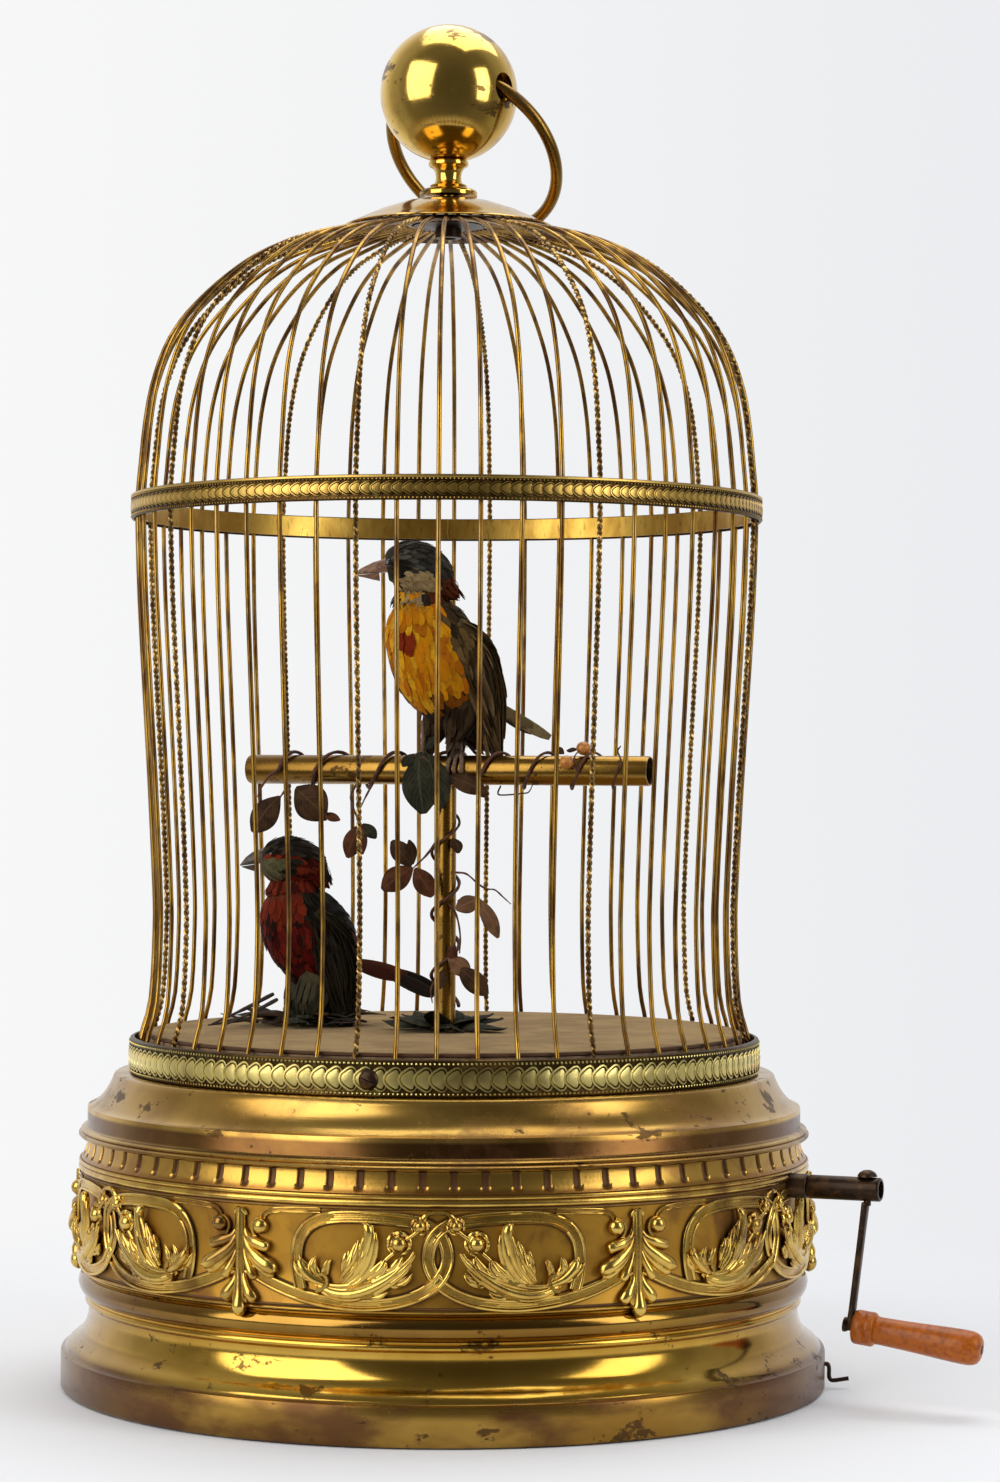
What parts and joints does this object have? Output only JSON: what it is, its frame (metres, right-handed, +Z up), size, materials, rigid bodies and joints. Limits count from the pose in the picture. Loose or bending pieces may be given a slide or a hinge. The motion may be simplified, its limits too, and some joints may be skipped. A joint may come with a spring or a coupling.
{
  "type": "singing bird automaton",
  "caption": "Crank-wound singing bird automaton: moving birds on a perch and floor inside a domed wire cage on a round ornamental brass base with a carrying ring.",
  "frame": {"origin": "centre of the foot, on the surface that it stands on", "axes": "+Z up along the cage axis; the front faces -Y; the crank comes out near +X, 22 degrees towards the front"},
  "size_m": [0.3799, 0.3226, 0.5753],
  "materials": {
    "brass": "aged polish with brown tarnish",
    "gallery_brass": "stamped, greenish yellow",
    "wire_brass": "aged golden brown",
    "bronze": "dark bronzed",
    "steel": "plain",
    "board": "bare",
    "felt": "felt",
    "grip_wood": "varnished",
    "vine": "matt",
    "leaf": "matt",
    "yellow_feather": "feathered",
    "red_feather": "feathered",
    "dark_feather": "feathered",
    "beak": "horn",
    "leather": "thin bellows leather"
  },
  "bodies": {
    "case": {"foot_moulding": "brass", "frieze_drum": "brass", "shoulder_moulding": "brass", "bottom_board": "board", "floor_board": "board", "floor_felt": "felt", "gallery_ring": "gallery_brass", "gallery_screw": "bronze", "cage_panel_1": "wire_brass", "cage_panel_2": "wire_brass", "cage_panel_3": "wire_brass", "cage_panel_4": "wire_brass", "cage_panel_5": "wire_brass", "cage_panel_6": "wire_brass", "cage_panel_7": "wire_brass", "cage_panel_8": "wire_brass", "mid_band": "wire_brass", "inner_band": "wire_brass", "crown_plate": "brass", "crown_nut": "bronze", "finial_stem": "brass", "finial_ball": "brass", "perch_bar": "brass", "perch_post": "brass", "bar_vine": "vine", "post_vine": "vine", "post_leaves": "leaf", "bird_leaves": "leaf", "upper_bird_body": "yellow_feather", "lower_bird_body": "red_feather", "crank_bush": "bronze", "bed_plate": "steel", "outer_plate": "brass", "inner_plate": "brass", "bellows_board": "board", "bellows_leather": "leather", "whistle_tube": "brass", "lever_bracket": "brass"},
    "ring": {"carry_ring": "brass"},
    "crank": {"crank_shaft": "bronze", "crank_arm": "bronze"},
    "grip": {"crank_grip": "grip_wood"},
    "stop": {"stop_lever": "bronze"},
    "upper_head": {"upper_bird_head": "dark_feather"},
    "upper_jaw": {"upper_bird_beak": "beak"},
    "upper_tail": {"upper_bird_tail": "dark_feather"},
    "lower_head": {"lower_bird_head": "dark_feather"},
    "lower_jaw": {"lower_bird_beak": "beak"},
    "lower_tail": {"lower_bird_tail": "dark_feather"},
    "barrel": {"spring_barrel": "brass", "mainspring": "steel"},
    "cams": {"cam_shaft": "steel", "song_cams": "brass"},
    "fly": {"governor_fly": "steel"},
    "bellows": {"bellows_top": "board"},
    "piston": {"whistle_piston": "steel"},
    "upper_follower": {"upper_lever": "steel"},
    "lower_follower": {"lower_lever": "steel"},
    "upper_wire": {"upper_push_wire": "steel"},
    "lower_wire": {"lower_push_wire": "steel"}
  },
  "joints": [
    {"name": "carry_ring_swing", "type": "hinge", "parent": "case", "child": "ring", "pos_m": [0, 0, 0.5461], "axis": [0.8212, -0.5707, 0], "range_deg": [0, 280]},
    {"name": "crank_turn", "type": "hinge", "parent": "case", "child": "crank", "pos_m": [0, 0, 0.0893], "axis": [0.9272, -0.3746, 0], "continuous": true},
    {"name": "grip_spin", "type": "hinge", "parent": "crank", "child": "grip", "pos_m": [0.16641, -0.06723, 0.03372], "axis": [0.9203, -0.3718, -0.1219], "continuous": true},
    {"name": "stop_lever_swing", "type": "hinge", "parent": "case", "child": "stop", "pos_m": [0.14321, -0.01505, 0.01], "axis": [0, 0, 1], "range_deg": [-7, 7]},
    {"name": "upper_head_turn", "type": "hinge", "parent": "case", "child": "upper_head", "pos_m": [-0.01178, -0.00527, 0.33155], "axis": [0, 0, 1], "range_deg": [-30, 30]},
    {"name": "upper_beak_open", "type": "hinge", "parent": "upper_head", "child": "upper_jaw", "pos_m": [-0.02778, -0.00527, 0.34275], "axis": [0, -1, 0], "range_deg": [0, 15]},
    {"name": "upper_tail_flick", "type": "hinge", "parent": "case", "child": "upper_tail", "pos_m": [0.01691, 0.01408, 0.28975], "axis": [0.5592, -0.829, 0], "range_deg": [-6, 6]},
    {"name": "lower_head_turn", "type": "hinge", "parent": "case", "child": "lower_head", "pos_m": [-0.06661, 0.02753, 0.2082], "axis": [0, 0, 1], "range_deg": [-30, 30]},
    {"name": "lower_beak_open", "type": "hinge", "parent": "lower_head", "child": "lower_jaw", "pos_m": [-0.08207, 0.02645, 0.2181], "axis": [0.0698, -0.9976, 0], "range_deg": [0, 15]},
    {"name": "lower_tail_flick", "type": "hinge", "parent": "case", "child": "lower_tail", "pos_m": [-0.03732, 0.03705, 0.173], "axis": [0.309, -0.9511, 0], "range_deg": [-6, 6]},
    {"name": "barrel_spin", "type": "hinge", "parent": "case", "child": "barrel", "pos_m": [0, 0, 0.0893], "axis": [0.9272, -0.3746, 0], "continuous": true},
    {"name": "cam_shaft_spin", "type": "hinge", "parent": "case", "child": "cams", "pos_m": [-0.01349, -0.03338, 0.06767], "axis": [0.9272, -0.3746, 0], "continuous": true},
    {"name": "fly_spin", "type": "hinge", "parent": "case", "child": "fly", "pos_m": [-0.02472, -0.06119, 0.08141], "axis": [0.9272, -0.3746, 0], "continuous": true},
    {"name": "bellows_pump", "type": "slide", "parent": "case", "child": "bellows", "axis": [0, 0, 1], "range_m": [-0.008, 0], "deforming": ["bellows_leather"]},
    {"name": "whistle_piston_slide", "type": "slide", "parent": "case", "child": "piston", "axis": [0.9272, -0.3746, 0], "range_m": [-0.022, 0]},
    {"name": "upper_lever_lift", "type": "hinge", "parent": "case", "child": "upper_follower", "pos_m": [-0.02323, -0.05749, 0.08697], "axis": [0.9272, -0.3746, 0], "range_deg": [0, 5]},
    {"name": "lower_lever_lift", "type": "hinge", "parent": "case", "child": "lower_follower", "pos_m": [-0.02323, -0.05749, 0.08697], "axis": [0.9272, -0.3746, 0], "range_deg": [0, 5]},
    {"name": "upper_wire_lift", "type": "slide", "parent": "case", "child": "upper_wire", "axis": [0, 0, 1], "range_m": [0, 0.0056]},
    {"name": "lower_wire_lift", "type": "slide", "parent": "case", "child": "lower_wire", "axis": [0, 0, 1], "range_m": [0, 0.0062]}
  ],
  "couplings": [
    {"joint": "cam_shaft_spin", "follows": "barrel_spin", "ratio": -3.6667},
    {"joint": "fly_spin", "follows": "barrel_spin", "ratio": 9.7778},
    {"joint": "upper_wire_lift", "follows": "upper_lever_lift", "m_per_rad": 0.062},
    {"joint": "upper_beak_open", "follows": "upper_lever_lift", "ratio": 3},
    {"joint": "upper_tail_flick", "follows": "upper_lever_lift", "ratio": 1.2},
    {"joint": "lower_wire_lift", "follows": "lower_lever_lift", "m_per_rad": 0.0677},
    {"joint": "lower_beak_open", "follows": "lower_lever_lift", "ratio": 3},
    {"joint": "lower_tail_flick", "follows": "lower_lever_lift", "ratio": 1.2}
  ]
}
